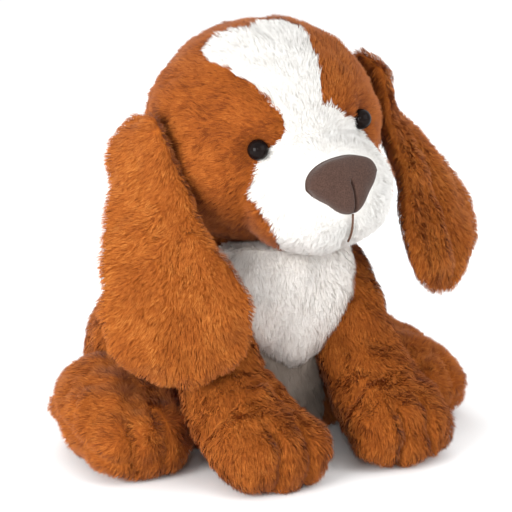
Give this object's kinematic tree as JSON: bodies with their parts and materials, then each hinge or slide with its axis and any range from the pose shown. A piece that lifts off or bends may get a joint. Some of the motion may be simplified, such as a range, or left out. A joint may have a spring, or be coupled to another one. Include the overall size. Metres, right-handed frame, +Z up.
{
  "type": "plush puppy",
  "caption": "Sitting plush puppy with a stuffed body, poseable head, legs and tail, and long ears that hang freely.",
  "frame": {"origin": "on the floor, straight below the chest, on the toy's left-right centre plane", "axes": "+Z up, the toy faces -Y, its own right side is towards -X"},
  "size_m": [0.3, 0.2709, 0.2756],
  "materials": {
    "rust_plush": "long-pile plush, golden rust",
    "dark_rust_plush": "short-pile plush, darker rust",
    "white_plush": "long-pile plush, white",
    "cream_plush": "long-pile plush, warm white",
    "nose_velour": "brushed velour, dark brown",
    "mouth_thread": "matte embroidery thread",
    "eye_gloss": "polished black",
    "washer_plastic": "moulded, natural white",
    "bean_cloth": "plain woven cloth",
    "fibre_filling": "loose polyester fibre"
  },
  "bodies": {
    "torso": {"back_cover": "rust_plush", "chest_bib": "cream_plush", "belly_panel": "cream_plush", "torso_filling": "fibre_filling", "bean_bag": "bean_cloth"},
    "neck": {"neck_filling": "fibre_filling"},
    "head": {"head_side_right": "rust_plush", "head_side_left": "rust_plush", "blaze_panel": "white_plush", "muzzle_cover": "white_plush", "head_filling": "fibre_filling", "nose_cover": "nose_velour", "nose_filling": "fibre_filling", "mouth_stitch": "mouth_thread", "eye_right": "eye_gloss", "eye_left": "eye_gloss", "eye_washer_right": "washer_plastic", "eye_washer_left": "washer_plastic"},
    "ear_right": {"ear_cover_right": "rust_plush", "ear_lining_right": "dark_rust_plush"},
    "ear_left": {"ear_cover_left": "rust_plush", "ear_lining_left": "dark_rust_plush"},
    "front_leg_right": {"front_leg_cover_right": "rust_plush", "front_leg_filling_right": "fibre_filling"},
    "front_leg_left": {"front_leg_cover_left": "rust_plush", "front_leg_filling_left": "fibre_filling"},
    "hind_leg_right": {"hind_leg_cover_right": "rust_plush", "hind_leg_filling_right": "fibre_filling"},
    "hind_leg_left": {"hind_leg_cover_left": "rust_plush", "hind_leg_filling_left": "fibre_filling"},
    "tail": {"tail_cover": "rust_plush", "tail_filling": "fibre_filling"}
  },
  "joints": [
    {"name": "head_turn", "type": "hinge", "parent": "torso", "child": "neck", "pos_m": [0.004, -0.001, 0.138], "axis": [0, 0, 1], "range_deg": [-8, 6], "stiffness_Nm_per_rad": 0.8},
    {"name": "head_nod", "type": "hinge", "parent": "neck", "child": "head", "pos_m": [0.004, -0.001, 0.138], "axis": [1, 0, 0], "range_deg": [-3, 2], "stiffness_Nm_per_rad": 3},
    {"name": "ear_lift_right", "type": "hinge", "parent": "head", "child": "ear_right", "pos_m": [-0.0862, -0.01, 0.2241], "axis": [0, 1, 0], "range_deg": [0, 70]},
    {"name": "ear_lift_left", "type": "hinge", "parent": "head", "child": "ear_left", "pos_m": [0.0719, -0.01, 0.2491], "axis": [0, -1, 0], "range_deg": [0, 70]},
    {"name": "front_leg_lift_right", "type": "hinge", "parent": "torso", "child": "front_leg_right", "pos_m": [-0.05, -0.006, 0.112], "axis": [-1, 0, 0], "range_deg": [0, 3], "stiffness_Nm_per_rad": 0.5},
    {"name": "front_leg_lift_left", "type": "hinge", "parent": "torso", "child": "front_leg_left", "pos_m": [0.05, -0.006, 0.112], "axis": [-1, 0, 0], "range_deg": [0, 3], "stiffness_Nm_per_rad": 0.5},
    {"name": "hind_leg_spread_right", "type": "hinge", "parent": "torso", "child": "hind_leg_right", "pos_m": [-0.074, 0.058, 0.028], "axis": [0, 0, -1], "range_deg": [0, 12], "stiffness_Nm_per_rad": 0.5},
    {"name": "hind_leg_spread_left", "type": "hinge", "parent": "torso", "child": "hind_leg_left", "pos_m": [0.074, 0.058, 0.028], "axis": [0, 0, 1], "range_deg": [0, 12], "stiffness_Nm_per_rad": 0.5},
    {"name": "tail_wag", "type": "hinge", "parent": "torso", "child": "tail", "pos_m": [0, 0.119, 0.028], "axis": [0, 0, 1], "range_deg": [-15, 15], "stiffness_Nm_per_rad": 0.1}
  ]
}
